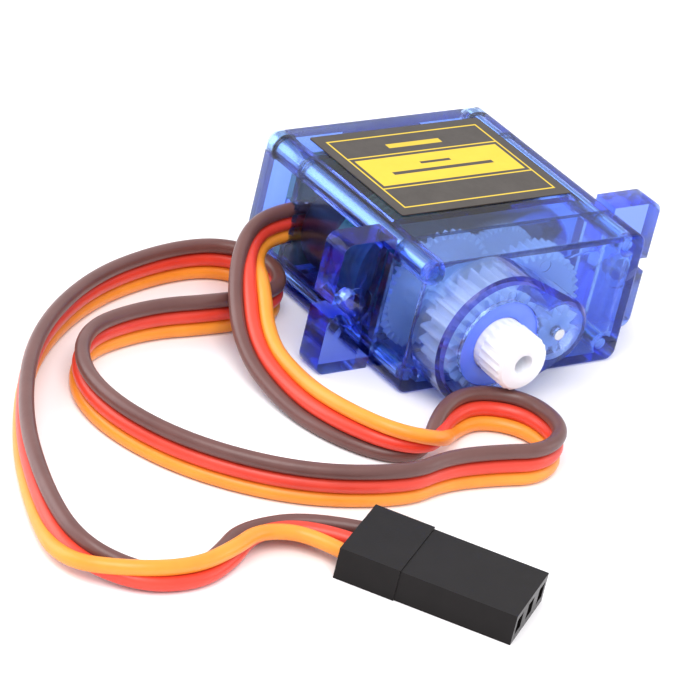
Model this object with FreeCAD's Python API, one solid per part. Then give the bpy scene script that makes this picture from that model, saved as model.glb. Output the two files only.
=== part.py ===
import FreeCAD, Part
import math
import os

# Hobby servo motor lying on its wide side, in millimetres.
#
# Each piece is modelled standing up: X along the case, Y across its thickness and Z from the case's bottom
# towards the output shaft. place() then lays it down: the shaft points along -Y, +Z is up, and the origin is
# the middle of the resting face's box.

# Case
CASE_LENGTH = 22.5
CASE_THICK = 11.8
LOWER_TOP = 4.8
EAR_BOTTOM = 15.9
MIDDLE_TOP = 18.4
CASE_TOP = 22.8
WALL = 1.0
GEAR_WALL = 0.7
CORNER_R = 1.0
EDGE_R = 0.35
DECK_BOTTOM = 15.0
DECK_TOP = 16.0
ROOF_UNDERSIDE = 22.0
ROOM_CORNER_R = 0.4
BOARD_RAIL_X = (7.0, 15.0)
BOARD_RAIL_WIDTH = 0.5
OUTPUT_BOSS_R = 1.6
MIDDLE_BOSS_R = 1.2

# A cutting tool runs this far past the face that it cuts, and a fused piece sinks this far into its neighbour
OVER = 1.0
SINK = 0.1

# Mounting ears
EAR_LENGTH = 5.05
EAR_CORNER_R = 0.9
EAR_HOLE_R = 1.1
EAR_HOLE_OUT = 2.65
EAR_SLOT = 1.25
EAR_RECESS_R = 1.75
EAR_RECESS = 0.25

# Turret over the output gear
TURRET_R = 5.9
SMALL_TURRET_R = 3.0
TURRET_TOP = 26.4
TURRET_CHAMFER = 0.5
TURRET_ROOF = 25.6
TURRET_BORE_R = 5.2
SMALL_BORE_R = 2.55

# Moulding marks, the round print of an ejector pin: how far from the gear's axis, and radius
MARK_DEPTH = 0.06
TURRET_MARK = (4.4, 0.45)
ROOF_MARK = (4.3, 0.55)

# Axes of the gear train, which all lie at mid thickness
MID = CASE_THICK / 2
OUTPUT_X = 5.95
MIDDLE_X = 12.15
MOTOR_X = 17.15

# Gear teeth: pinion and wheel tooth counts of each stage, and the heights of each gear's faces. Pinions are
# shifted outwards and wheels inwards, and tips are cut back, in modules, so that they don't come to a point.
PRESSURE = math.radians(20)
SHIFT = 0.4
TALLEST_TIP = 1.2
STAGE_1 = (10, 60)
STAGE_2 = (10, 40)
STAGE_3 = (10, 40)
STAGE_4 = (10, 23)
MOTOR_PINION_Z = (16.3, 17.3)
WHEEL_1_Z = (16.4, 17.2)
PINION_1_TOP = 20.1
WHEEL_2_Z = (17.4, 18.0)
PINION_2_TOP = 21.9
WHEEL_3_Z = (20.3, 21.7)
PINION_3_TOP = 25.4
OUTPUT_WHEEL_Z = (22.2, 25.4)

# Output shaft, its bush and the pins
SHAFT_TOP = 29.6
SHAFT_R = 2.33
SPLINE_BOTTOM = 26.9
SPLINE_TIP_R = 2.42
SPLINE_ROOT_R = 2.27
SPLINE_TEETH = 21
SHAFT_SCREW_R = 0.85
SHAFT_SCREW_DEPTH = 4.0
BUSH_R = 3.8
SHAFT_CHAMFER = 0.3
BUSH_SUNK = 0.15
RUN = 0.05
PIN_R = 0.5
PIN_Z = (15.1, 26.35)
SEAT_GAP = 0.02

# Case screws
SCREW_INSET = 1.3
SCREW_R = 0.5
SCREW_HEAD_R = 1.0
SCREW_SUNK = 0.15
SCREW_SEAT = 0.9
SCREW_TOP = 21.4
CROSS_LENGTH = 1.4
CROSS_WIDTH = 0.26
CROSS_DEPTH = 0.4
PILLAR_R = 0.9

# Motor
CAN_R = 4.2
CAN_WALL = 0.35
CAN_BOTTOM = 6.2
CAN_EDGE_R = 0.4
CAP_BOTTOM = 4.5
CAP_FLOOR = 0.7
CAP_BORE_R = 3.0
CAP_CHAMFER = 0.3
NOSE_R = 1.5
NOSE_TOP = 15.9
MOTOR_BUSH_R = 0.95
MOTOR_BUSH_Z = (14.1, 15.9)
MOTOR_SHAFT_R = 0.35
MOTOR_SHAFT_GAP = 0.03
MOTOR_SHAFT_Z = (4.75, 17.4)
MAGNET_THICK = 0.75
MAGNET_GAP = 1.8
MAGNET_Z = (6.7, 13.8)
POLES = 3
POLE_TURN = 360 / POLES
CORE_R = 1.1
CORE_Z = (8.2, 12.8)
STEM_LENGTH = 2.7
STEM_WIDTH = 1.0
RIM_R = (2.4, 2.9)
RIM_GAP = 0.7
COIL_REACH = (1.35, 2.05)
COIL_SIDE = (0.52, 1.15)
COIL_Z = (8.0, 13.0)
COMMUTATOR_R = 0.95
COMMUTATOR_Z = (5.6, 7.6)
BRUSH_REACH = (1.0, 3.0)
BRUSH_WIDTH = 0.8
BRUSH_Z = (5.3, 6.1)
TERMINAL_R = 0.35
TERMINAL_OUT = 2.6

# Potentiometer under the output shaft
POT_R = 4.6
POT_BOTTOM = 5.7
POT_MIDDLE = 9.8
POT_TOP = 12.8
POT_WALL = 0.5
POT_EDGE_R = 0.3
POT_NECK_R = 2.2
POT_SHAFT_R = 0.6
POT_SHAFT_Z = (8.3, 24.7)
TRACK_R = (2.6, 4.0)
TRACK_THICK = 0.3
TRACK_GAP = 1.6
WIPER_HUB_R = 1.5
WIPER_HUB_Z = (8.4, 9.4)
WIPER_ARM = (3.6, 1.0, 0.3)
WIPER_FOOT = 0.4
POT_PIN_R = 0.25
POT_PIN_PITCH = 2.5
POT_PIN_OUT = 1.6

# Circuit board
BOARD_BOTTOM = 3.4
BOARD_TOP = 4.2
BOARD_GAP = 0.1
CHIP_CHAMFER = 0.15
CAPACITOR = (1.6, 0.8, 0.8)
CAPACITOR_PLACES = [(9.2, 2.6), (9.2, 7.8), (18.4, 3.0), (18.4, 7.2)]
SOLDER_X = (2.2, 3.3)
SOLDER_SIZE = 0.9
SOLDER_R = 0.25

# Label
LABEL_X = (2.7, 20.2)
LABEL_Z = (2.1, 15.3)
LABEL_THICK = 0.1
LABEL_CORNER_R = 0.2

# Lead and its notch in the end wall
WIRE_D = 1.2
NOTCH_HALF = 1.85
NOTCH_Z = (4.15, 5.45)

# The lead's route, over the table: a point of the red wire, measured from the foot of the case's shaft end,
# then the way from it to the brown wire and to the orange wire, in wire diameters.
LEAD = [
    ((2.2, -4.8, 5.9), (0, 0, 1), (0, 0, -1)),
    ((-1.6, -4.9, 5.9), (0, 0, 1), (0, 0, -1)),
    ((-5.0, -7.0, 5.5), (-0.35, 0.4, 0.85), (0.35, -0.4, -0.85)),
    ((-7.9, -11.3, 4.8), (-0.85, 0.5, -0.2), (0.85, -0.5, 0.2)),
    ((-10.2, -16.6, 2.3), (-0.95, 0.1, -0.3), (0.95, -0.1, 0.3)),
    ((-10.3, -22.6, 1.5), (-0.65, -0.1, -0.75), (0.65, 0.1, 0.75)),
    ((-9.5, -27.4, 1.75), (-0.3, -0.1, -0.95), (0.3, 0.1, 0.95)),
    ((-7.1, -31.4, 1.8), (0, 0.1, -1), (0, -0.1, 1)),
    ((-3.4, -32.1, 1.4), (-0.2, 0.55, -0.67), (0.2, -0.55, 0.8)),
    ((-0.5, -29.4, 1.66), (-0.25, 0.45, 0.85), (0.2, -0.35, -0.88)),
    ((3.4, -28.0, 1.64), (0, 0.5, 0.85), (0, -0.5, -0.85)),
    ((7.0, -30.3, 1.66), (0.3, 0.38, 0.86), (-0.3, -0.38, -0.86)),
    ((7.1, -34.7, 1.8), (0, 0, 1), (0, 0, -1)),
    ((3.5, -37.2, 1.8), (0, 0, 1), (0, 0, -1)),
    ((-0.9, -36.2, 1.8), (0, 0, 1), (0, 0, -1)),
    ((-5.3, -35.8, 1.8), (0, 0, 1), (0, 0, -1)),
    ((-9.8, -36.9, 1.8), (0, 0, 1), (0, 0, -1)),
    ((-18.6, -34.2, 1.8), (0, 0, 1), (0, 0, -1)),
    ((-25.4, -27.4, 1.8), (0, 0, 1), (0, 0, -1)),
    ((-27.6, -18.8, 1.8), (0, 0, 1), (0, 0, -1)),
    ((-23.9, -11.7, 1.8), (0, 0, 1), (0, 0, -1)),
    ((-16.4, -9.7, 1.8), (0, 0, 1), (0, 0, -1)),
    ((-9.6, -10.5, 1.8), (0, 0, 1), (0, 0, -1)),
    ((-3.6, -10.4, 1.8), (0, 0, 1), (0, 0, -1)),
    ((-1.3, -6.4, 1.8), (0, 0, 1), (0, 0, -1)),
    ((-3.6, -2.4, 1.8), (0, 0, 1), (0, 0, -1)),
    ((-9.6, -2.0, 1.8), (0, 0, 1), (0, 0, -1)),
    ((-18.8, -4.7, 1.8), (0, 0, 1), (0, 0, -1)),
    ((-28.0, -11.5, 1.8), (0, 0, 1), (0, 0, -1)),
    ((-34.9, -21.3, 1.8), (0, 0, 1), (0, 0, -1)),
    ((-39.0, -30.6, 1.8), (0.2, 0.05, 0.95), (-0.2, -0.05, -0.95)),
    ((-40.3, -37.0, 1.3), (0.6, 0.2, 0.75), (-0.8, -0.2, -0.1)),
    ((-37.0, -41.1, 0.8), (0.65, 0.75, 0.3), (-0.15, 0.2, 0.95)),
    ((-32.2, -42.0, 0.6), (0.2, 1.0, 0), (0, 0.45, 0.9)),
    ((-28.2, -40.5, 0.7), (-0.4, 0.95, 0), (0, 0, 1)),
    ((-24.6, -37.9, 1.0), (-0.2, 1.0, -0.3), (-0.1, -0.7, 0.6)),
    ((-19.7, -38.9, 1.3), (0.6, 0.8, 0), (-0.6, -0.8, 0)),
    ((-16.9, -43.0, 1.3), (1.75, 1.2, 0), (-1.75, -1.2, 0)),
]

# Connector on the lead's end, lying flat: centre, heading of its sockets, and sizes
PLUG_CENTRE = (-14.0, -47.3)
PLUG_HEADING = -56.0
PLUG_LENGTH = 14.0
PLUG_WIDTH = 7.7
PLUG_THICK = 2.6
PLUG_STEP = 4.8
PLUG_INSET = 0.12
PIN_PITCH = 2.54
SOCKET = 1.3
SOCKET_DEPTH = 12.0
WIRE_BORE = 3.0
WIRE_BORE_GAP = 0.05
CONTACT = 1.1
CONTACT_X = (-4.6, 6.2)
CONTACT_BORE = 0.7
CONTACT_BORE_X = (-3.6, 7.0)


# Shapes --------------------------------------------------------------------------------------------------

def box(x0, x1, y0, y1, z0, z1):
    return Part.makeBox(x1 - x0, y1 - y0, z1 - z0, FreeCAD.Vector(x0, y0, z0))


def cylinder(x, y, radius, z0, z1):
    return Part.makeCylinder(radius, z1 - z0, FreeCAD.Vector(x, y, z0))


def ring(x, y, outer, inner, z0, z1):
    return cylinder(x, y, outer, z0, z1).cut(cylinder(x, y, inner, z0 - OVER, z1 + OVER))


def prism(points, z0, z1):
    corners = [FreeCAD.Vector(x, y, z0) for x, y in points]
    outline = Part.makePolygon(corners + corners[:1])
    return Part.Face(outline).extrude(FreeCAD.Vector(0, 0, z1 - z0))


def along(solid, axis):
    """The solid's straight edges that run along the axis."""
    found = []
    for edge in solid.Edges:
        if isinstance(edge.Curve, Part.Line) and abs(edge.Curve.Direction.dot(axis)) > 0.99:
            found.append(edge)
    return found


def at_height(solid, z):
    """The solid's edges that lie in the plane at height z."""
    return [edge for edge in solid.Edges if abs(edge.BoundBox.ZMin - z) + abs(edge.BoundBox.ZMax - z) < 1e-4]


def rounded_box(x0, x1, y0, y1, z0, z1, radius):
    solid = box(x0, x1, y0, y1, z0, z1)
    return solid.makeFillet(radius, along(solid, FreeCAD.Vector(0, 0, 1)))


def case_block(z0, z1):
    return rounded_box(0, CASE_LENGTH, 0, CASE_THICK, z0, z1, CORNER_R)


def room(wall, z0, z1):
    """The hollow inside a case wall, less the corner pillars that the screws run through."""
    hollow = rounded_box(wall, CASE_LENGTH - wall, wall, CASE_THICK - wall, z0, z1, ROOM_CORNER_R)
    return hollow.cut(screw_bars(PILLAR_R, z0 - OVER, z1 + OVER))


def screw_places():
    return [(x, y) for x in (SCREW_INSET, CASE_LENGTH - SCREW_INSET)
            for y in (SCREW_INSET, CASE_THICK - SCREW_INSET)]


def screw_bars(radius, z0, z1):
    return Part.makeCompound([cylinder(x, y, radius, z0, z1) for x, y in screw_places()])


def cord_notch():
    return box(-OVER, WALL + SINK, MID - NOTCH_HALF, MID + NOTCH_HALF, *NOTCH_Z)


def pole_copy(solid, turn):
    """Turns a solid that is modelled about the origin, and moves it to the motor's axis."""
    solid.rotate(FreeCAD.Vector(0, 0, 0), FreeCAD.Vector(0, 0, 1), turn)
    solid.translate(FreeCAD.Vector(MOTOR_X, MID, 0))
    return solid


# Gear teeth ----------------------------------------------------------------------------------------------

def involute(angle):
    return math.tan(angle) - angle


def gear_module(distance, stage):
    return 2 * distance / sum(stage)


def half_tooth(radius, module, teeth, shift):
    """Half the angle that one tooth takes up at a radius."""
    pitch_r = module * teeth / 2
    base_r = pitch_r * math.cos(PRESSURE)
    backlash = 0.25 * module + 0.01
    width = module * (math.pi / 2 + 2 * shift * math.tan(PRESSURE)) - backlash
    pressure_here = math.acos(min(1.0, base_r / radius))
    return width / (2 * pitch_r) + involute(PRESSURE) - involute(pressure_here)


def toothed(x, module, teeth, shift, z0, z1, first_tooth):
    """A spur gear blank about the axis at x, with a tooth centred on the angle first_tooth."""
    pitch_r = module * teeth / 2
    base_r = pitch_r * math.cos(PRESSURE)
    tip_r = pitch_r + module * min(1 + shift, TALLEST_TIP)
    root_r = pitch_r - module * (1.25 - shift)
    low_r = max(base_r, root_r)
    flank = [low_r, (low_r + tip_r) / 2, tip_r]
    if root_r < base_r:
        flank.insert(0, root_r)
    points = []
    for tooth in range(teeth):
        centre = first_tooth + 2 * math.pi * tooth / teeth
        sides = [(radius, -half_tooth(radius, module, teeth, shift)) for radius in flank]
        sides += [(radius, -angle) for radius, angle in reversed(sides)]
        for radius, angle in sides:
            points.append((x + radius * math.cos(centre + angle), MID + radius * math.sin(centre + angle)))
    return prism(points, z0, z1)


def meshing(first_tooth, stage, toward):
    """Where the wheel's tooth goes, so that a gap of the wheel, which lies along toward, takes the pinion's
    first tooth."""
    pinion, wheel = stage
    return toward + math.pi + math.pi / wheel - (first_tooth - toward) * pinion / wheel


def pinion(x, distance, stage, z0, z1, first_tooth):
    return toothed(x, gear_module(distance, stage), stage[0], SHIFT, z0, z1, first_tooth)


def wheel(x, distance, stage, z0, z1, first_tooth):
    return toothed(x, gear_module(distance, stage), stage[1], -SHIFT, z0, z1, first_tooth)


# Case ----------------------------------------------------------------------------------------------------

def lower_case():
    block = case_block(0, LOWER_TOP)
    block = block.makeFillet(EDGE_R, at_height(block, 0))
    shell = block.cut(room(WALL, WALL, LOWER_TOP + OVER))
    for y in (WALL, CASE_THICK - WALL - BOARD_RAIL_WIDTH):
        rail = box(*BOARD_RAIL_X, y - SINK, y + BOARD_RAIL_WIDTH + SINK, WALL - SINK, BOARD_BOTTOM)
        shell = shell.fuse(rail)
    shell = shell.cut(screw_bars(SCREW_R + SEAT_GAP, -OVER, LOWER_TOP + OVER))
    shell = shell.cut(screw_bars(SCREW_HEAD_R + RUN, -OVER, SCREW_SEAT))
    return shell.cut(cord_notch())


def ear(side):
    """One mounting ear: side is -1 at the shaft end and 1 at the far end."""
    face = 0 if side < 0 else CASE_LENGTH
    tip = face + side * EAR_LENGTH
    plate = box(min(face, tip), max(face, tip), 0, CASE_THICK, EAR_BOTTOM, MIDDLE_TOP)
    outer = [edge for edge in along(plate, FreeCAD.Vector(0, 0, 1)) if abs(edge.BoundBox.XMin - tip) < 1e-4]
    plate = plate.makeFillet(EAR_CORNER_R, outer)
    hole_x = face + side * EAR_HOLE_OUT
    plate = plate.cut(cylinder(hole_x, MID, EAR_HOLE_R, EAR_BOTTOM - OVER, MIDDLE_TOP + OVER))
    plate = plate.cut(cylinder(hole_x, MID, EAR_RECESS_R, MIDDLE_TOP - EAR_RECESS, MIDDLE_TOP + OVER))
    slot = box(min(hole_x, tip + side), max(hole_x, tip + side), MID - EAR_SLOT / 2, MID + EAR_SLOT / 2,
               EAR_BOTTOM - OVER, MIDDLE_TOP + OVER)
    return plate.cut(slot)


def middle_case():
    shell = case_block(LOWER_TOP, MIDDLE_TOP)
    shell = shell.cut(room(WALL, LOWER_TOP - OVER, DECK_BOTTOM))
    shell = shell.cut(room(GEAR_WALL, DECK_TOP, MIDDLE_TOP + OVER))
    shell = shell.fuse(cylinder(OUTPUT_X, MID, OUTPUT_BOSS_R, DECK_TOP - SINK, WHEEL_2_Z[0] - RUN))
    shell = shell.fuse(cylinder(MIDDLE_X, MID, MIDDLE_BOSS_R, DECK_TOP - SINK, WHEEL_1_Z[0] - RUN))
    shell = shell.cut(cylinder(OUTPUT_X, MID, POT_SHAFT_R + RUN, DECK_BOTTOM - OVER, WHEEL_2_Z[0] + OVER))
    shell = shell.cut(cylinder(MIDDLE_X, MID, PIN_R + SEAT_GAP, PIN_Z[0], MIDDLE_TOP))
    shell = shell.cut(cylinder(MOTOR_X, MID, NOSE_R + SEAT_GAP, DECK_BOTTOM - OVER, DECK_TOP + OVER))
    shell = shell.cut(screw_bars(SCREW_R + SEAT_GAP, LOWER_TOP - OVER, MIDDLE_TOP + OVER))
    shell = shell.cut(cord_notch())
    return shell.fuse([ear(-1), ear(1)]).removeSplitter()


def turret():
    """The raised housing: two round towers joined by the straight tangents between them."""
    distance = MIDDLE_X - OUTPUT_X
    slope = math.asin((TURRET_R - SMALL_TURRET_R) / distance)
    sin, cos = math.sin(slope), math.cos(slope)
    foot = CASE_TOP - SINK

    def spot(x, radius, side):
        return FreeCAD.Vector(x + radius * sin, MID + side * radius * cos, foot)

    big = [spot(OUTPUT_X, TURRET_R, side) for side in (-1, 1)]
    small = [spot(MIDDLE_X, SMALL_TURRET_R, side) for side in (-1, 1)]
    far_left = FreeCAD.Vector(OUTPUT_X - TURRET_R, MID, foot)
    far_right = FreeCAD.Vector(MIDDLE_X + SMALL_TURRET_R, MID, foot)
    edges = [
        Part.Arc(big[1], far_left, big[0]).toShape(),
        Part.makeLine(big[0], small[0]),
        Part.Arc(small[0], far_right, small[1]).toShape(),
        Part.makeLine(small[1], big[1]),
    ]
    tower = Part.Face(Part.Wire(edges)).extrude(FreeCAD.Vector(0, 0, TURRET_TOP - foot))
    return tower.makeChamfer(TURRET_CHAMFER, at_height(tower, TURRET_TOP))


def upper_case():
    block = case_block(MIDDLE_TOP, CASE_TOP)
    block = block.makeFillet(EDGE_R, at_height(block, CASE_TOP))
    shell = block.fuse(turret())
    shell = shell.cut(room(GEAR_WALL, MIDDLE_TOP - OVER, ROOF_UNDERSIDE))
    shell = shell.cut(cylinder(OUTPUT_X, MID, TURRET_BORE_R, ROOF_UNDERSIDE - OVER, TURRET_ROOF))
    shell = shell.cut(cylinder(MIDDLE_X, MID, SMALL_BORE_R, ROOF_UNDERSIDE - OVER, TURRET_ROOF))
    shell = shell.cut(cylinder(OUTPUT_X, MID, BUSH_R + SEAT_GAP, TURRET_ROOF - OVER, TURRET_TOP + OVER))
    shell = shell.cut(cylinder(MIDDLE_X, MID, PIN_R + SEAT_GAP, TURRET_ROOF - OVER, TURRET_TOP + OVER))
    shell = shell.cut(screw_bars(SCREW_R + SEAT_GAP, MIDDLE_TOP - OVER, SCREW_TOP + SINK))
    for x, top, (out, radius) in ((OUTPUT_X, TURRET_TOP, TURRET_MARK), (MIDDLE_X, CASE_TOP, ROOF_MARK)):
        shell = shell.cut(cylinder(x, MID + out, radius, top - MARK_DEPTH, top + OVER))
    return shell.removeSplitter()


def case_screws():
    screws = []
    for x, y in screw_places():
        screw = cylinder(x, y, SCREW_HEAD_R, SCREW_SUNK, SCREW_SEAT)
        screw = screw.fuse(cylinder(x, y, SCREW_R, SCREW_SEAT - SINK, SCREW_TOP))
        for turn in (0, 90):
            slot = box(-CROSS_LENGTH / 2, CROSS_LENGTH / 2, -CROSS_WIDTH / 2, CROSS_WIDTH / 2,
                       0, SCREW_SUNK + CROSS_DEPTH)
            slot.rotate(FreeCAD.Vector(0, 0, 0), FreeCAD.Vector(0, 0, 1), turn)
            slot.translate(FreeCAD.Vector(x, y, 0))
            screw = screw.cut(slot)
        screws.append(screw.removeSplitter())
    return Part.makeCompound(screws)


def label():
    sheet = box(*LABEL_X, CASE_THICK, CASE_THICK + LABEL_THICK, *LABEL_Z)
    return sheet.makeFillet(LABEL_CORNER_R, along(sheet, FreeCAD.Vector(0, 1, 0)))


# Gears ---------------------------------------------------------------------------------------------------

TO_OUTPUT = math.pi
TO_MIDDLE = 0.0


def motor_pinion():
    gear = pinion(MOTOR_X, MOTOR_X - MIDDLE_X, STAGE_1, *MOTOR_PINION_Z, TO_OUTPUT)
    return gear.cut(cylinder(MOTOR_X, MID, MOTOR_SHAFT_R, 0, CASE_TOP))


def compound_gear(x, big, small, bore_r):
    """A wheel with its pinion on one axis, bored to run on a pin."""
    bore = cylinder(x, MID, bore_r, DECK_TOP, TURRET_TOP)
    return big.cut(bore).fuse(small.cut(bore)).removeSplitter()


def gear_1():
    big = wheel(MIDDLE_X, MOTOR_X - MIDDLE_X, STAGE_1, *WHEEL_1_Z, meshing(TO_OUTPUT, STAGE_1, TO_OUTPUT))
    small = pinion(MIDDLE_X, MIDDLE_X - OUTPUT_X, STAGE_2, WHEEL_1_Z[1] - SINK, PINION_1_TOP, TO_OUTPUT)
    return compound_gear(MIDDLE_X, big, small, PIN_R + RUN)


def gear_2():
    distance = MIDDLE_X - OUTPUT_X
    big = wheel(OUTPUT_X, distance, STAGE_2, *WHEEL_2_Z, meshing(TO_OUTPUT, STAGE_2, TO_OUTPUT))
    small = pinion(OUTPUT_X, distance, STAGE_3, WHEEL_2_Z[1] - SINK, PINION_2_TOP, TO_MIDDLE)
    return compound_gear(OUTPUT_X, big, small, POT_SHAFT_R + RUN)


def gear_3():
    distance = MIDDLE_X - OUTPUT_X
    big = wheel(MIDDLE_X, distance, STAGE_3, *WHEEL_3_Z, meshing(TO_MIDDLE, STAGE_3, TO_MIDDLE))
    small = pinion(MIDDLE_X, distance, STAGE_4, WHEEL_3_Z[1] - SINK, PINION_3_TOP, TO_OUTPUT)
    return compound_gear(MIDDLE_X, big, small, PIN_R + RUN)


def spline():
    points = []
    for step in range(2 * SPLINE_TEETH):
        radius = SPLINE_TIP_R if step % 2 == 0 else SPLINE_ROOT_R
        angle = math.pi * step / SPLINE_TEETH
        points.append((OUTPUT_X + radius * math.cos(angle), MID + radius * math.sin(angle)))
    teeth = prism(points, SPLINE_BOTTOM, SHAFT_TOP)
    envelope = cylinder(OUTPUT_X, MID, SPLINE_TIP_R, SPLINE_BOTTOM, SHAFT_TOP)
    envelope = envelope.makeChamfer(SHAFT_CHAMFER, at_height(envelope, SHAFT_TOP))
    return teeth.common(envelope)


def output_gear():
    distance = MIDDLE_X - OUTPUT_X
    gear = wheel(OUTPUT_X, distance, STAGE_4, *OUTPUT_WHEEL_Z, meshing(TO_OUTPUT, STAGE_4, TO_OUTPUT))
    gear = gear.fuse([cylinder(OUTPUT_X, MID, SHAFT_R, OUTPUT_WHEEL_Z[1] - SINK, SPLINE_BOTTOM), spline()])
    gear = gear.cut(cylinder(OUTPUT_X, MID, SHAFT_SCREW_R, SHAFT_TOP - SHAFT_SCREW_DEPTH, SHAFT_TOP + OVER))
    return gear.cut(cylinder(OUTPUT_X, MID, POT_SHAFT_R, 0, POT_SHAFT_Z[1])).removeSplitter()


def output_bush():
    return ring(OUTPUT_X, MID, BUSH_R, SHAFT_R + RUN, TURRET_ROOF, TURRET_TOP - BUSH_SUNK)


def middle_pin():
    return cylinder(MIDDLE_X, MID, PIN_R, *PIN_Z)


# Motor ---------------------------------------------------------------------------------------------------

def motor_can():
    can = cylinder(MOTOR_X, MID, CAN_R, CAN_BOTTOM, DECK_BOTTOM)
    can = can.makeFillet(CAN_EDGE_R, at_height(can, DECK_BOTTOM))
    can = can.fuse(cylinder(MOTOR_X, MID, NOSE_R, DECK_BOTTOM - CAN_WALL, NOSE_TOP))
    can = can.cut(cylinder(MOTOR_X, MID, CAN_R - CAN_WALL, CAN_BOTTOM - OVER, DECK_BOTTOM - CAN_WALL))
    return can.cut(cylinder(MOTOR_X, MID, MOTOR_BUSH_R, CAN_BOTTOM, CASE_TOP))


def motor_bush():
    return ring(MOTOR_X, MID, MOTOR_BUSH_R, MOTOR_SHAFT_R + MOTOR_SHAFT_GAP, *MOTOR_BUSH_Z)


def motor_end_cap():
    cap = cylinder(MOTOR_X, MID, CAN_R, CAP_BOTTOM, CAN_BOTTOM)
    cap = cap.makeChamfer(CAP_CHAMFER, at_height(cap, CAP_BOTTOM))
    cap = cap.cut(cylinder(MOTOR_X, MID, CAP_BORE_R, CAP_BOTTOM + CAP_FLOOR, CAN_BOTTOM + OVER))
    bore_r = MOTOR_SHAFT_R + MOTOR_SHAFT_GAP
    return cap.cut(cylinder(MOTOR_X, MID, bore_r, MOTOR_SHAFT_Z[0], CAN_BOTTOM + OVER))


def motor_magnets():
    inner = CAN_R - CAN_WALL
    sleeve = ring(MOTOR_X, MID, inner, inner - MAGNET_THICK, *MAGNET_Z)
    gap = box(MOTOR_X - CAN_R, MOTOR_X + CAN_R, MID - MAGNET_GAP / 2, MID + MAGNET_GAP / 2, *MAGNET_Z)
    return sleeve.cut(gap)


def motor_armature():
    """Wide poles on narrow stems."""
    core = cylinder(MOTOR_X, MID, CORE_R, *CORE_Z)
    rim = ring(MOTOR_X, MID, RIM_R[1], RIM_R[0], *CORE_Z)
    for pole in range(POLES):
        stem = box(0, STEM_LENGTH, -STEM_WIDTH / 2, STEM_WIDTH / 2, *CORE_Z)
        gap = box(RIM_R[0] - OVER, RIM_R[1] + OVER, -RIM_GAP / 2, RIM_GAP / 2, *CORE_Z)
        core = core.fuse(pole_copy(stem, POLE_TURN * pole))
        rim = rim.cut(pole_copy(gap, POLE_TURN * (pole + 0.5)))
    core = core.fuse(rim)
    return core.cut(cylinder(MOTOR_X, MID, MOTOR_SHAFT_R, 0, CASE_TOP)).removeSplitter()


def motor_windings():
    near, far = COIL_SIDE
    coils = []
    for pole in range(POLES):
        for side in ((near, far), (-far, -near)):
            coils.append(pole_copy(box(*COIL_REACH, *side, *COIL_Z), POLE_TURN * pole))
    return Part.makeCompound(coils)


def commutator():
    return ring(MOTOR_X, MID, COMMUTATOR_R, MOTOR_SHAFT_R, *COMMUTATOR_Z)


def motor_brushes():
    near, far = BRUSH_REACH
    brushes = []
    for y0, y1 in ((MID - far, MID - near), (MID + near, MID + far)):
        brushes.append(box(MOTOR_X - BRUSH_WIDTH / 2, MOTOR_X + BRUSH_WIDTH / 2, y0, y1, *BRUSH_Z))
    return Part.makeCompound(brushes)


def motor_shaft():
    return cylinder(MOTOR_X, MID, MOTOR_SHAFT_R, *MOTOR_SHAFT_Z)


def motor_terminals():
    places = (MID - TERMINAL_OUT, MID + TERMINAL_OUT)
    return Part.makeCompound([cylinder(MOTOR_X, y, TERMINAL_R, BOARD_TOP, CAP_BOTTOM) for y in places])


# Potentiometer -------------------------------------------------------------------------------------------

def potentiometer_cup():
    cup = cylinder(OUTPUT_X, MID, POT_R, POT_BOTTOM, POT_MIDDLE)
    cup = cup.makeFillet(POT_EDGE_R, at_height(cup, POT_BOTTOM))
    return cup.cut(cylinder(OUTPUT_X, MID, POT_R - POT_WALL, POT_BOTTOM + POT_WALL, POT_MIDDLE + OVER))


def potentiometer_base():
    base = cylinder(OUTPUT_X, MID, POT_R, POT_MIDDLE, POT_TOP)
    base = base.fuse(cylinder(OUTPUT_X, MID, POT_NECK_R, POT_TOP - SINK, DECK_BOTTOM))
    return base.cut(cylinder(OUTPUT_X, MID, POT_SHAFT_R + RUN, 0, CASE_TOP)).removeSplitter()


def potentiometer_track():
    floor = POT_BOTTOM + POT_WALL
    track = ring(OUTPUT_X, MID, TRACK_R[1], TRACK_R[0], floor, floor + TRACK_THICK)
    gap = box(OUTPUT_X, OUTPUT_X + POT_R, MID - TRACK_GAP / 2, MID + TRACK_GAP / 2, POT_BOTTOM, POT_MIDDLE)
    return track.cut(gap)


def potentiometer_wiper():
    length, width, thick = WIPER_ARM
    low, high = WIPER_HUB_Z
    tip = OUTPUT_X - length
    foot_bottom = POT_BOTTOM + POT_WALL + TRACK_THICK + SINK
    hub = cylinder(OUTPUT_X, MID, WIPER_HUB_R, low, high)
    arm = box(tip, OUTPUT_X, MID - width / 2, MID + width / 2, low, low + thick)
    foot = box(tip, tip + WIPER_FOOT, MID - width / 2, MID + width / 2, foot_bottom, low + SINK)
    wiper = hub.fuse([arm, foot])
    return wiper.cut(cylinder(OUTPUT_X, MID, POT_SHAFT_R, 0, CASE_TOP)).removeSplitter()


def potentiometer_shaft():
    return cylinder(OUTPUT_X, MID, POT_SHAFT_R, *POT_SHAFT_Z)


def potentiometer_pins():
    pins = []
    for row in (-1, 0, 1):
        y = MID + row * POT_PIN_PITCH
        pins.append(cylinder(OUTPUT_X + POT_PIN_OUT, y, POT_PIN_R, BOARD_TOP, POT_BOTTOM))
    return Part.makeCompound(pins)


# Circuit board -------------------------------------------------------------------------------------------

def circuit_board():
    inset = WALL + BOARD_GAP
    board = box(inset, CASE_LENGTH - inset, inset, CASE_THICK - inset, BOARD_BOTTOM, BOARD_TOP)
    return board.cut(screw_bars(PILLAR_R + BOARD_GAP, 0, CASE_TOP))


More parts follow.
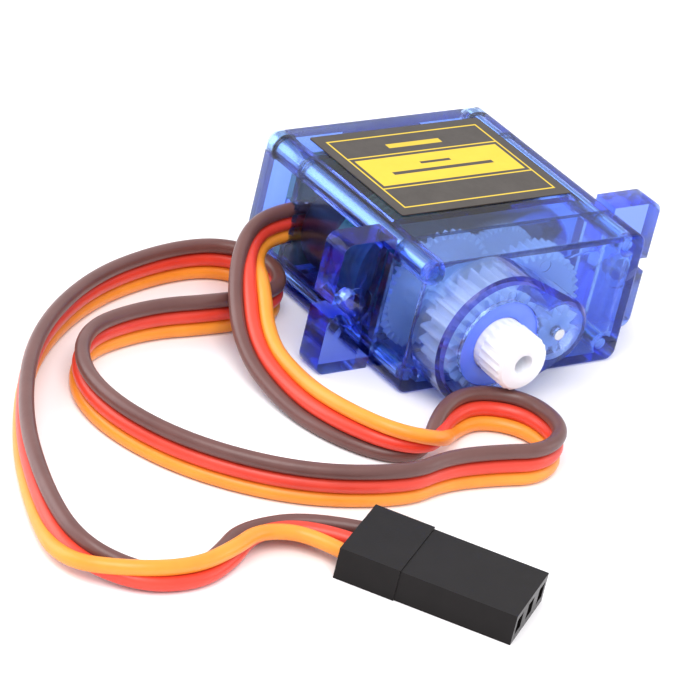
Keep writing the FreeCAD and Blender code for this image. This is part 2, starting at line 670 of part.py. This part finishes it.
def chip(x, width, depth, thick):
    """A flat package under the board."""
    bottom = BOARD_BOTTOM - thick
    body = box(x, x + width, MID - depth / 2, MID + depth / 2, bottom, BOARD_BOTTOM)
    return body.makeChamfer(CHIP_CHAMFER, at_height(body, bottom))


def control_chip():
    return chip(x=12.2, width=5.0, depth=4.4, thick=1.5)


def driver_chip():
    return chip(x=5.2, width=3.0, depth=2.8, thick=1.1)


def chip_capacitors():
    length, width, height = CAPACITOR
    bodies = []
    for x, y in CAPACITOR_PLACES:
        bodies.append(box(x, x + length, y, y + width, BOARD_BOTTOM - height, BOARD_BOTTOM))
    return Part.makeCompound(bodies)


def solder_joints():
    top = BOARD_TOP + SOLDER_SIZE
    beads = []
    for row in (-1, 0, 1):
        y = MID + row * WIRE_D
        bead = box(*SOLDER_X, y - SOLDER_SIZE / 2, y + SOLDER_SIZE / 2, BOARD_TOP, top)
        beads.append(bead.makeFillet(SOLDER_R, at_height(bead, top)))
    return Part.makeCompound(beads)


# Lead and connector, laid out over the table ---------------------------------------------------------------

def wire_route(which):
    """The corner points of one wire: 0 is red, 1 is brown and 2 is orange."""
    points = []
    for red, brown, orange in LEAD:
        step = ((0, 0, 0), brown, orange)[which]
        points.append(FreeCAD.Vector(*red) + FreeCAD.Vector(*step) * WIRE_D)
    return points


def tube(points, diameter):
    """Straight runs joined by tangent arcs, each arc as large as its two runs allow."""
    edges = []
    start = points[0]
    for before, corner, after in zip(points, points[1:], points[2:]):
        inward = (corner - before).normalize()
        outward = (after - corner).normalize()
        reach = 0.45 * min((corner - before).Length, (after - corner).Length)
        entry = corner - inward * reach
        leave = corner + outward * reach
        chord = (entry + leave) * 0.5
        half_turn = inward.getAngle(outward) / 2
        radius = reach / math.tan(half_turn)
        centre = corner + (chord - corner).normalize() * (radius / math.cos(half_turn))
        middle = centre + (corner - centre).normalize() * radius
        edges.append(Part.makeLine(start, entry))
        edges.append(Part.Arc(entry, middle, leave).toShape())
        start = leave
    edges.append(Part.makeLine(start, points[-1]))
    path = Part.Wire(edges)
    heading = points[1] - points[0]
    section = Part.Wire(Part.Circle(points[0], heading, diameter / 2).toShape())
    return path.makePipeShell([section], True, False)


def on_plug(solid):
    """Lays a solid of the connector in its place: it is modelled about its own middle, sockets towards +X."""
    solid.rotate(FreeCAD.Vector(0, 0, 0), FreeCAD.Vector(0, 0, 1), PLUG_HEADING)
    solid.translate(FreeCAD.Vector(*PLUG_CENTRE, 0))
    return solid


def connector_housing():
    end = PLUG_LENGTH / 2
    half = PLUG_WIDTH / 2
    z = PLUG_THICK / 2
    reach = SOCKET / 2
    rear = box(-end, PLUG_STEP - end, -half, half, 0, PLUG_THICK)
    front = box(PLUG_STEP - end, end, PLUG_INSET - half, half - PLUG_INSET, 0, PLUG_THICK - PLUG_INSET)
    housing = rear.fuse(front)
    for row in (-1, 0, 1):
        y = row * PIN_PITCH
        socket = box(end - SOCKET_DEPTH, end + OVER, y - reach, y + reach, z - reach, z + reach)
        mouth = FreeCAD.Vector(-end - OVER, y, z)
        bore = Part.makeCylinder(WIRE_D / 2 + WIRE_BORE_GAP, WIRE_BORE + OVER, mouth, FreeCAD.Vector(1, 0, 0))
        housing = housing.cut(socket).cut(bore)
    return on_plug(housing.removeSplitter())


def connector_contacts():
    low = (PLUG_THICK - SOCKET) / 2
    bore_low = (PLUG_THICK - CONTACT_BORE) / 2
    reach = CONTACT_BORE / 2
    contacts = []
    for row in (-1, 0, 1):
        y = row * PIN_PITCH
        sleeve = box(*CONTACT_X, y - CONTACT / 2, y + CONTACT / 2, low, low + CONTACT + SINK)
        hollow = box(*CONTACT_BORE_X, y - reach, y + reach, bore_low, bore_low + CONTACT_BORE)
        contacts.append(sleeve.cut(hollow))
    return on_plug(Part.makeCompound(contacts))


# Placing and writing -------------------------------------------------------------------------------------

def place(solid, stands=True):
    """Lays a standing piece on its side, and moves any piece from the case's corner to the row's origin."""
    if stands:
        solid.rotate(FreeCAD.Vector(0, 0, 0), FreeCAD.Vector(1, 0, 0), 90)
    solid.translate(FreeCAD.Vector(-CASE_LENGTH / 2, SHAFT_TOP / 2, 0))
    return solid


STANDING = [
    lower_case, middle_case, upper_case, case_screws, label,
    motor_can, motor_bush, motor_end_cap, motor_magnets, motor_armature, motor_windings, commutator,
    motor_brushes, motor_shaft, motor_terminals, motor_pinion,
    gear_1, gear_2, gear_3, output_gear, output_bush, middle_pin,
    potentiometer_cup, potentiometer_base, potentiometer_track, potentiometer_wiper, potentiometer_shaft,
    potentiometer_pins, circuit_board, control_chip, driver_chip, chip_capacitors, solder_joints,
]

os.makedirs("parts", exist_ok=True)
pieces = {make.__name__: place(make()) for make in STANDING}
for index, name in enumerate(("wire_red", "wire_brown", "wire_orange")):
    pieces[name] = place(tube(wire_route(index), WIRE_D), stands=False)
pieces["connector_housing"] = place(connector_housing(), stands=False)
pieces["connector_contacts"] = place(connector_contacts(), stands=False)
for name, piece in pieces.items():
    piece.exportStep("parts/" + name + ".step")
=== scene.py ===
import math

import bpy
from mathutils import Matrix, Vector


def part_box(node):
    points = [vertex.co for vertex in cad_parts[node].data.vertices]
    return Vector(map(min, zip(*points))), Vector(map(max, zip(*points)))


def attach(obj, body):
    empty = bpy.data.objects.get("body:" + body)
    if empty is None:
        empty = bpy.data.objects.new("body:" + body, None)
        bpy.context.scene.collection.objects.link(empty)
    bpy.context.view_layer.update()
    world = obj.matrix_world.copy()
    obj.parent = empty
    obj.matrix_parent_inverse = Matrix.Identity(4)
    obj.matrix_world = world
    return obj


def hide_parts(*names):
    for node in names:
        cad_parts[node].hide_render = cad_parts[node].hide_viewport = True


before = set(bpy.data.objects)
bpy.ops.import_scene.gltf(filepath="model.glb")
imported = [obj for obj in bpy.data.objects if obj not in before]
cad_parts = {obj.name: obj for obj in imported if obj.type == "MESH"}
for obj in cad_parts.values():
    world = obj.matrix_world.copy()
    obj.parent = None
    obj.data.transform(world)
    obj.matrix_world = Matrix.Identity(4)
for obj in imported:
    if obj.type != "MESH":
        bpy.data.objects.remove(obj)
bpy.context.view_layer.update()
MM = 0.001

# The lead's points are measured in millimetres from the foot of the case's shaft end, and this is that foot.
FOOT = Vector((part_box("lower_case")[0].x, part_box("lower_case")[1].y, 0.0))
WIRE_D = 1.2 * MM

# A point of the red wire, then the way from it to the brown wire and to the orange wire, in wire diameters.
LEAD = [
    ((2.2, -4.8, 5.9), (0, 0, 1), (0, 0, -1)),
    ((-1.6, -4.9, 5.9), (0, 0, 1), (0, 0, -1)),
    ((-5.0, -7.0, 5.5), (-0.35, 0.4, 0.85), (0.35, -0.4, -0.85)),
    ((-7.9, -11.3, 4.8), (-0.85, 0.5, -0.2), (0.85, -0.5, 0.2)),
    ((-10.2, -16.6, 2.3), (-0.95, 0.1, -0.3), (0.95, -0.1, 0.3)),
    ((-10.3, -22.6, 1.5), (-0.65, -0.1, -0.75), (0.65, 0.1, 0.75)),
    ((-9.5, -27.4, 1.75), (-0.3, -0.1, -0.95), (0.3, 0.1, 0.95)),
    ((-7.1, -31.4, 1.8), (0, 0.1, -1), (0, -0.1, 1)),
    ((-3.4, -32.1, 1.4), (-0.2, 0.55, -0.67), (0.2, -0.55, 0.8)),
    ((-0.5, -29.4, 1.66), (-0.25, 0.45, 0.85), (0.2, -0.35, -0.88)),
    ((3.4, -28.0, 1.64), (0, 0.5, 0.85), (0, -0.5, -0.85)),
    ((7.0, -30.3, 1.66), (0.3, 0.38, 0.86), (-0.3, -0.38, -0.86)),
    ((7.1, -34.7, 1.8), (0, 0, 1), (0, 0, -1)),
    ((3.5, -37.2, 1.8), (0, 0, 1), (0, 0, -1)),
    ((-0.9, -36.2, 1.8), (0, 0, 1), (0, 0, -1)),
    ((-5.3, -35.8, 1.8), (0, 0, 1), (0, 0, -1)),
    ((-9.8, -36.9, 1.8), (0, 0, 1), (0, 0, -1)),
    ((-18.6, -34.2, 1.8), (0, 0, 1), (0, 0, -1)),
    ((-25.4, -27.4, 1.8), (0, 0, 1), (0, 0, -1)),
    ((-27.6, -18.8, 1.8), (0, 0, 1), (0, 0, -1)),
    ((-23.9, -11.7, 1.8), (0, 0, 1), (0, 0, -1)),
    ((-16.4, -9.7, 1.8), (0, 0, 1), (0, 0, -1)),
    ((-9.6, -10.5, 1.8), (0, 0, 1), (0, 0, -1)),
    ((-3.6, -10.4, 1.8), (0, 0, 1), (0, 0, -1)),
    ((-1.3, -6.4, 1.8), (0, 0, 1), (0, 0, -1)),
    ((-3.6, -2.4, 1.8), (0, 0, 1), (0, 0, -1)),
    ((-9.6, -2.0, 1.8), (0, 0, 1), (0, 0, -1)),
    ((-18.8, -4.7, 1.8), (0, 0, 1), (0, 0, -1)),
    ((-28.0, -11.5, 1.8), (0, 0, 1), (0, 0, -1)),
    ((-34.9, -21.3, 1.8), (0, 0, 1), (0, 0, -1)),
    ((-39.0, -30.6, 1.8), (0.2, 0.05, 0.95), (-0.2, -0.05, -0.95)),
    ((-40.3, -37.0, 1.3), (0.6, 0.2, 0.75), (-0.8, -0.2, -0.1)),
    ((-37.0, -41.1, 0.8), (0.65, 0.75, 0.3), (-0.15, 0.2, 0.95)),
    ((-32.2, -42.0, 0.6), (0.2, 1.0, 0), (0, 0.45, 0.9)),
    ((-28.2, -40.5, 0.7), (-0.4, 0.95, 0), (0, 0, 1)),
    ((-24.6, -37.9, 1.0), (-0.2, 1.0, -0.3), (-0.1, -0.7, 0.6)),
    ((-19.7, -38.9, 1.3), (0.6, 0.8, 0), (-0.6, -0.8, 0)),
    ((-16.9, -43.0, 1.3), (1.75, 1.2, 0), (-1.75, -1.2, 0)),
]

# Clear plastic: the shades it drifts between, and how it swallows light inside
CLEAR_DEEP = (0.53, 0.75, 1.0)
CLEAR_PALE = (0.61, 0.83, 1.0)
INSIDE_COLOUR = (0.14, 0.28, 0.985, 1.0)
INSIDE_DENSITY = 380.0

# The turret stands this far out of the upper shell. Its side is painted paler: a painted highlight standing
# in for the light that side reflects and lets through.
TURRET_TALL = 3.6 * MM
TURRET_BLEND = 0.1 * MM
TURRET_PAINTED_HIGHLIGHT = (0.86, 0.97, 1.0)

# A face is told by how far its normal points along the shaft: 0 is sideways on and 1 is facing forward.
SIDEWAYS_BELOW = 0.5
SIDEWAYS_BLEND = 0.05
CHAMFER_FROM = 0.62
CHAMFER_TO = 0.8
CHAMFER_BLEND = 0.03
# Faces that lean between these two, such as the chamfer round the turret's face, are painted dark: painted
# shade in place of the darkening light gets there.
CHAMFER_PAINTED_SHADE = (0.07, 0.05, 0.42)

# Label layout in millimetres, inwards from its edges or back from its front edge
FRAME_SIDE_INSET = 0.95
FRAME_END_INSET = 1.0
FRAME_LINE = 0.16
BAND_INSET = 1.45
BAND_FRONT = 4.55
BAND_BACK = 8.75
RULE_NEAR = 0.34
RULE_FAR = 0.5
PRINT_BLEND = 0.02 * MM

# Plain bars in place of lettering: inset from both sides, front edge and back edge
LONG_BAR = (3.6, 6.0, 6.45)
SHORT_BAR = (7.2, 7.2, 7.55)
BACK_BAR = (6.0, 10.1, 10.75)
BACK_BAR_STRENGTH = 0.9

# Rounding of the moulded edges, in millimetres
CASE_EDGE = 0.12
CONNECTOR_EDGE = 0.2
FINE_EDGE = 0.06
BEVEL_SEGMENTS = 2
BEVEL_FROM_ANGLE = math.radians(40)
WELD_WITHIN = 0.002 * MM

# Stage: half the floor's width in metres, and how far it lies below the part so the two don't fight
FLOOR_REACH = 3.0
FLOOR_DROP = 0.02 * MM
WORLD_COLOUR = (0.97, 0.97, 1.0, 1.0)
WORLD_STRENGTH = 1.0

# Square soft lights: name, place and size in millimetres, power in watts, and colour
SOFT_LIGHTS = [
    ("key", (-150, -160, 320), 260, 1.0, (1.0, 0.98, 0.96)),
    ("back", (-260, 250, 190), 380, 1.15, (0.97, 0.98, 1.0)),
    ("side", (300, -160, 120), 160, 0.15, (1.0, 0.97, 0.98)),
]

# Camera: where it stands round the servo's middle, and how it is turned and framed
CAMERA_AZIMUTH = math.radians(-42.015)
CAMERA_ELEVATION = math.radians(27.878)
CAMERA_ROLL = math.radians(13.908)
CAMERA_AIM = Vector((11.25, -11.25, 5.9)) * MM
CAMERA_ASIDE = -7.406 * MM
CAMERA_DOWN = -8.624 * MM
CAMERA_BACK = 356.027 * MM
CAMERA_LENS = 224.1
CAMERA_SENSOR = 36.0
CAMERA_CLIP = 0.01


# Node helpers --------------------------------------------------------------------------------------------

class Paint:
    """A Principled material and short ways to add nodes that feed it."""

    def __init__(self, name, colour, roughness, metallic=0.0, **sockets):
        self.material = bpy.data.materials.new(name)
        self.material.use_nodes = True
        self.tree = self.material.node_tree
        self.shader = self.tree.nodes["Principled BSDF"]
        self.shader.inputs["Base Color"].default_value = (*colour, 1.0)
        self.shader.inputs["Roughness"].default_value = roughness
        self.shader.inputs["Metallic"].default_value = metallic
        for socket, value in sockets.items():
            self.shader.inputs[socket.replace("_", " ")].default_value = value
        coordinates = self.tree.nodes.new("ShaderNodeTexCoord")
        self.place = coordinates.outputs["Object"]

    def node(self, kind, inputs=None, **settings):
        made = self.tree.nodes.new(kind)
        for name, value in settings.items():
            setattr(made, name, value)
        for key, value in (inputs or {}).items():
            self.feed(made.inputs[key], value)
        return made

    def feed(self, socket, value):
        if isinstance(value, bpy.types.NodeSocket):
            self.tree.links.new(value, socket)
        else:
            socket.default_value = value

    def math(self, operation, first, second=0.0):
        return self.node("ShaderNodeMath", {0: first, 1: second}, operation=operation).outputs[0]

    def noise(self, per_mm, detail=3.0, stretch=(1, 1, 1)):
        """Noise with about per_mm cells to the millimetre."""
        scaled = self.node("ShaderNodeMapping", {"Vector": self.place, "Scale": stretch}).outputs[0]
        made = self.node("ShaderNodeTexNoise", {"Vector": scaled, "Scale": per_mm / MM, "Detail": detail})
        return made.outputs["Fac"]

    def mix(self, factor, first, second):
        made = self.node("ShaderNodeMix", {"Factor": factor}, data_type="RGBA")
        self.feed(made.inputs[6], (*first, 1.0) if isinstance(first, tuple) else first)
        self.feed(made.inputs[7], (*second, 1.0) if isinstance(second, tuple) else second)
        return made.outputs[2]

    def spread(self, value, low, high):
        """Takes a value that runs from 0 to 1 to the range from low to high."""
        return self.node("ShaderNodeMapRange", {"Value": value, "To Min": low, "To Max": high}).outputs[0]

    def step(self, value, edge, soft):
        """0 below the edge and 1 above it, over a width of soft."""
        limits = {"Value": value, "From Min": edge - soft, "From Max": edge + soft}
        return self.node("ShaderNodeMapRange", limits).outputs[0]

    def below(self, value, edge, soft):
        """1 below the edge and 0 above it, over a width of soft."""
        return self.math("SUBTRACT", 1.0, self.step(value, edge, soft))

    def colour(self, source):
        self.feed(self.shader.inputs["Base Color"], source)

    def roughness(self, source):
        self.feed(self.shader.inputs["Roughness"], source)

    def bump(self, height, depth_mm, strength=1.0):
        values = {"Height": height, "Distance": depth_mm * MM, "Strength": strength}
        made = self.node("ShaderNodeBump", values)
        self.feed(self.shader.inputs["Normal"], made.outputs[0])


# Materials -----------------------------------------------------------------------------------------------

def clear_blue():
    """Clear blue plastic: a light tint at each face, and a deeper one the further light runs inside it."""
    paint = Paint("clear_blue", (0.54, 0.72, 1.0), 0.03, IOR=1.36, Transmission_Weight=1.0, Alpha=0.88)
    body = paint.mix(paint.noise(0.25, 2.0), CLEAR_DEEP, CLEAR_PALE)
    along = paint.node("ShaderNodeSeparateXYZ", {"Vector": paint.place}).outputs[1]
    turret_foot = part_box("upper_case")[0].y + TURRET_TALL
    on_turret = paint.below(along, turret_foot, TURRET_BLEND)
    normal = paint.node("ShaderNodeNewGeometry").outputs["True Normal"]
    lean = paint.node("ShaderNodeSeparateXYZ", {"Vector": normal}).outputs[1]
    sideways = paint.below(paint.math("ABSOLUTE", lean), SIDEWAYS_BELOW, SIDEWAYS_BLEND)
    # The turret's sideways faces are painted paler here: a painted highlight, not a tint of the plastic.
    body = paint.mix(paint.math("MULTIPLY", on_turret, sideways), body, TURRET_PAINTED_HIGHLIGHT)
    forward = paint.math("MULTIPLY", lean, -1.0)
    past_side = paint.step(forward, CHAMFER_FROM, CHAMFER_BLEND)
    short_of_front = paint.below(forward, CHAMFER_TO, CHAMFER_BLEND)
    chamfer = paint.math("MULTIPLY", past_side, short_of_front)
    # Chamfer faces are painted dark here: painted shade, not a tint of the plastic.
    paint.colour(paint.mix(chamfer, body, CHAMFER_PAINTED_SHADE))
    paint.roughness(paint.spread(paint.noise(1.5), 0.015, 0.07))
    inside = paint.node("ShaderNodeVolumeAbsorption", {"Color": INSIDE_COLOUR, "Density": INSIDE_DENSITY})
    paint.feed(paint.tree.nodes["Material Output"].inputs["Volume"], inside.outputs[0])
    paint.bump(paint.noise(0.6, 2.0), 0.01, 0.4)
    return paint.material


def moulded(name, dark, light, roughness, grain_mm=0.004, gloss=0.5):
    """Moulded plastic: a slow change of shade and a fine grain."""
    paint = Paint(name, light, roughness, Specular_IOR_Level=gloss)
    paint.colour(paint.mix(paint.noise(0.5, 4.0), dark, light))
    paint.roughness(paint.spread(paint.noise(2.0), roughness - 0.06, roughness + 0.08))
    paint.bump(paint.noise(9.0, 4.0), grain_mm)
    return paint.material


def metal(name, dark, light, roughness, stretch=(1, 1, 1)):
    """Metal with drawn or turned marks, which stretch may draw out along an axis."""
    paint = Paint(name, light, roughness, metallic=1.0)
    marks = paint.noise(4.0, 5.0, stretch)
    paint.colour(paint.mix(marks, dark, light))
    paint.roughness(paint.spread(marks, roughness - 0.1, roughness + 0.12))
    paint.bump(marks, 0.004)
    return paint.material


def insulation(name, shade, light):
    """Soft vinyl: a little mottled, with slow dents from handling."""
    paint = Paint(name, light, 0.38, Coat_Weight=0.12, Coat_Roughness=0.3, Specular_IOR_Level=0.45)
    paint.colour(paint.mix(paint.noise(0.35, 3.0), shade, light))
    paint.roughness(paint.spread(paint.noise(3.0), 0.3, 0.46))
    paint.bump(paint.noise(1.2, 3.0), 0.03, 0.6)
    return paint.material


def nylon(name, shade, light):
    """White nylon, which lets a little light wander inside it."""
    paint = Paint(name, light, 0.42, Subsurface_Weight=0.25, Subsurface_Scale=0.6 * MM)
    paint.shader.inputs["Subsurface Radius"].default_value = (1.0, 0.9, 0.8)
    paint.colour(paint.mix(paint.noise(0.8, 3.0), shade, light))
    paint.roughness(paint.spread(paint.noise(5.0), 0.36, 0.5))
    paint.bump(paint.noise(6.0, 3.0), 0.005)
    return paint.material


def label_print():
    """A dark film with a thin yellow frame, a yellow band and two dark panels. It carries no text."""
    low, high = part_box("label")
    paint = Paint("label_print", (0.1, 0.1, 0.1), 0.35, Specular_IOR_Level=0.3)
    split = paint.node("ShaderNodeSeparateXYZ", {"Vector": paint.place})
    across, along = split.outputs[0], split.outputs[1]
    width = (high.x - low.x) / MM
    depth = (high.y - low.y) / MM

    def between(value, first, last):
        """1 from first to last and 0 outside."""
        past_first = paint.step(value, first, PRINT_BLEND)
        return paint.math("MULTIPLY", past_first, paint.below(value, last, PRINT_BLEND))

    def patch(inset, front, back):
        """1 inside a rectangle that stands inset millimetres in from both sides of the label."""
        in_width = between(across, low.x + inset * MM, low.x + (width - inset) * MM)
        return paint.math("MULTIPLY", in_width, between(along, low.y + front * MM, low.y + back * MM))

    outer = patch(FRAME_SIDE_INSET, FRAME_END_INSET, depth - FRAME_END_INSET)
    inner_end = FRAME_END_INSET + FRAME_LINE
    inner = patch(FRAME_SIDE_INSET + FRAME_LINE, inner_end, depth - inner_end)
    frame_line = paint.math("SUBTRACT", outer, inner)
    front_rule = patch(FRAME_SIDE_INSET, BAND_FRONT - RULE_FAR, BAND_FRONT - RULE_NEAR)
    back_rule = patch(FRAME_SIDE_INSET, BAND_BACK + RULE_NEAR, BAND_BACK + RULE_FAR)
    rules = paint.math("ADD", front_rule, back_rule)
    band = patch(BAND_INSET, BAND_FRONT, BAND_BACK)
    bars = paint.math("ADD", patch(*LONG_BAR), patch(*SHORT_BAR))
    back_bar = paint.math("MULTIPLY", patch(*BACK_BAR), BACK_BAR_STRENGTH)
    gold = paint.math("MAXIMUM", paint.math("MAXIMUM", frame_line, rules), back_bar)
    gold = paint.math("MAXIMUM", gold, paint.math("SUBTRACT", band, bars))
    mottle = paint.noise(0.7, 4.0)
    ink = paint.mix(mottle, (0.039, 0.032, 0.026), (0.068, 0.057, 0.049))
    yellow = paint.mix(mottle, (0.68, 0.47, 0.024), (0.75, 0.54, 0.033))
    paint.colour(paint.mix(gold, ink, yellow))
    paint.roughness(paint.spread(paint.noise(2.5), 0.28, 0.42))
    paint.bump(paint.noise(1.0, 4.0), 0.015, 0.5)
    return paint.material


def laminate():
    """Green lacquered board with copper tracks under the lacquer."""
    paint = Paint("laminate", (0.03, 0.25, 0.12), 0.3, Coat_Weight=0.4, Coat_Roughness=0.15)
    brick = {"Vector": paint.place, "Scale": 0.35 / MM, "Mortar Size": 0.06}
    tracks = paint.node("ShaderNodeTexBrick", brick)
    weave = paint.noise(3.0, 4.0)
    base = paint.mix(weave, (0.02, 0.2, 0.09), (0.04, 0.3, 0.14))
    paint.colour(paint.mix(tracks.outputs["Fac"], base, (0.1, 0.42, 0.2)))
    paint.bump(weave, 0.004)
    return paint.material


def paint_nodes(material, *names):
    for name in names:
        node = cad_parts[name]
        node.data.materials.clear()
        node.data.materials.append(material)


def soften(width_mm, *names):
    """Rounds the moulded edges of CAD nodes a little, and shades their curved faces smooth."""
    for name in names:
        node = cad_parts[name]
        weld = node.modifiers.new("weld", "WELD")
        weld.merge_threshold = WELD_WITHIN
        bevel = node.modifiers.new("bevel", "BEVEL")
        bevel.width = width_mm * MM
        bevel.segments = BEVEL_SEGMENTS
        bevel.limit_method = "ANGLE"
        bevel.angle_limit = BEVEL_FROM_ANGLE
        node.data.shade_smooth()
        flatten = node.modifiers.new("flatten", "WEIGHTED_NORMAL")
        flatten.weight = 100


def dress_frame():
    """Gives every CAD node its material, and rounds the edges of the moulded ones."""
    paint_nodes(clear_blue(), "lower_case", "middle_case", "upper_case")
    paint_nodes(label_print(), "label")
    paint_nodes(nylon("gear_nylon", (0.93, 0.94, 0.95), (0.98, 0.98, 0.98)), "gear_1", "gear_2", "gear_3")
    paint_nodes(nylon("shaft_nylon", (0.76, 0.78, 0.84), (0.84, 0.86, 0.92)), "output_gear")
    steel = metal("drawn_steel", (0.5, 0.51, 0.53), (0.72, 0.73, 0.75), 0.28, (1, 0.15, 1))
    paint_nodes(steel, "motor_shaft", "middle_pin", "potentiometer_shaft", "motor_armature")
    paint_nodes(metal("zinc_plate", (0.78, 0.79, 0.82), (0.9, 0.91, 0.93), 0.45, (1, 0.3, 1)), "motor_can")
    bright = metal("bright_screw", (0.62, 0.63, 0.65), (0.82, 0.82, 0.83), 0.2)
    paint_nodes(bright, "case_screws", "motor_terminals", "potentiometer_pins", "solder_joints")
    brass = metal("turned_brass", (0.62, 0.46, 0.18), (0.86, 0.68, 0.32), 0.26)
    paint_nodes(brass, "motor_pinion", "motor_bush", "potentiometer_wiper", "connector_contacts")
    copper = metal("enamelled_copper", (0.55, 0.22, 0.1), (0.85, 0.42, 0.24), 0.32)
    paint_nodes(copper, "motor_windings", "commutator", "motor_brushes")
    paint_nodes(moulded("bush_blue", (0.09, 0.17, 0.88), (0.13, 0.24, 0.98), 0.3), "output_bush")
    paint_nodes(moulded("black_moulding", (0.012, 0.012, 0.016), (0.03, 0.03, 0.035), 0.42),
                "potentiometer_cup", "motor_end_cap", "control_chip", "driver_chip", "potentiometer_track")
    paint_nodes(moulded("ferrite", (0.08, 0.08, 0.085), (0.13, 0.13, 0.135), 0.6), "motor_magnets")
    paint_nodes(moulded("ceramic", (0.4, 0.3, 0.2), (0.55, 0.42, 0.3), 0.5), "chip_capacitors")
    paint_nodes(laminate(), "circuit_board", "potentiometer_base")
    paint_nodes(moulded("connector_plastic", (0.006, 0.005, 0.005), (0.011, 0.009, 0.009), 0.3, 0.006, 0.16),
                "connector_housing")
    soften(CASE_EDGE, "lower_case", "middle_case", "upper_case")
    soften(CONNECTOR_EDGE, "connector_housing")
    soften(FINE_EDGE, "output_gear", "gear_1", "gear_2", "gear_3", "output_bush", "case_screws", "motor_can")


# Lead ----------------------------------------------------------------------------------------------------

def wire(name, which, material):
    """One wire of the lead: which is 0 for red, 1 for brown and 2 for orange."""
    curve = bpy.data.curves.new(name + "_line", "CURVE")
    curve.dimensions = "3D"
    curve.bevel_depth = WIRE_D / 2
    curve.bevel_resolution = 6
    curve.resolution_u = 10
    curve.use_fill_caps = True
    spline = curve.splines.new("NURBS")
    points = []
    for red, brown, orange in LEAD:
        step = ((0, 0, 0), brown, orange)[which]
        points.append(FOOT + Vector(red) * MM + Vector(step) * WIRE_D)
    spline.points.add(len(points) - 1)
    for point, place in zip(spline.points, points):
        point.co = (*place, 1.0)
    spline.order_u = 3
    spline.use_endpoint_u = True
    curve.materials.append(material)
    piece = bpy.data.objects.new(name + "_insulation", curve)
    bpy.context.scene.collection.objects.link(piece)
    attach(piece, "servo_body")
    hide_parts(name)


def lead():
    wire("wire_red", 0, insulation("vinyl_red", (0.62, 0.035, 0.018), (0.8, 0.06, 0.03)))
    wire("wire_brown", 1, insulation("vinyl_brown", (0.097, 0.038, 0.034), (0.16, 0.068, 0.06)))
    wire("wire_orange", 2, insulation("vinyl_orange", (0.78, 0.23, 0.016), (0.9, 0.34, 0.036)))


# Stage, light and camera ---------------------------------------------------------------------------------

def floor():
    mesh = bpy.data.meshes.new("floor")
    corners = [(x * FLOOR_REACH, y * FLOOR_REACH, 0) for x, y in ((-1, -1), (1, -1), (1, 1), (-1, 1))]
    mesh.from_pydata(corners, [], [(0, 1, 2, 3)])
    plane = bpy.data.objects.new("floor", mesh)
    plane.location.z = -FLOOR_DROP
    bpy.context.scene.collection.objects.link(plane)
    paint = Paint("floor_paper", (0.93, 0.92, 0.935), 0.7)
    paint.colour(paint.mix(paint.noise(0.02, 2.0), (0.92, 0.91, 0.925), (0.94, 0.93, 0.945)))
    mesh.materials.append(paint.material)


def soft_light(name, place, size, power, colour):
    """A square soft light that faces the origin. Its place and size are in millimetres."""
    data = bpy.data.lights.new(name, "AREA")
    data.shape = "SQUARE"
    data.size = size * MM
    data.energy = power
    data.color = colour
    light = bpy.data.objects.new(name, data)
    light.location = Vector(place) * MM
    light.rotation_euler = (-light.location).to_track_quat("-Z", "Y").to_euler()
    bpy.context.scene.collection.objects.link(light)


def studio():
    world = bpy.data.worlds.new("studio")
    bpy.context.scene.world = world
    world.use_nodes = True
    background = world.node_tree.nodes["Background"]
    background.inputs["Color"].default_value = WORLD_COLOUR
    background.inputs["Strength"].default_value = WORLD_STRENGTH
    for light in SOFT_LIGHTS:
        soft_light(*light)


def camera():
    azimuth, elevation, roll = CAMERA_AZIMUTH, CAMERA_ELEVATION, CAMERA_ROLL
    right = Vector((math.cos(azimuth), math.sin(azimuth), 0.0))
    back = Vector((math.sin(azimuth) * math.cos(elevation), -math.cos(azimuth) * math.cos(elevation),
                   math.sin(elevation)))
    up = back.cross(right)
    turned_right = right * math.cos(roll) + up * math.sin(roll)
    turned_up = up * math.cos(roll) - right * math.sin(roll)
    place = FOOT + CAMERA_AIM + turned_right * CAMERA_ASIDE + turned_up * CAMERA_DOWN + back * CAMERA_BACK
    data = bpy.data.cameras.new("camera")
    data.lens = CAMERA_LENS
    data.sensor_width = CAMERA_SENSOR
    data.clip_start = CAMERA_CLIP
    eye = bpy.data.objects.new("camera", data)
    turn = Matrix((turned_right, turned_up, back)).transposed().to_4x4()
    eye.matrix_world = Matrix.Translation(place) @ turn
    bpy.context.scene.collection.objects.link(eye)
    bpy.context.scene.camera = eye


dress_frame()
lead()
floor()
studio()
camera()
bpy.context.scene.view_settings.view_transform = "Standard"
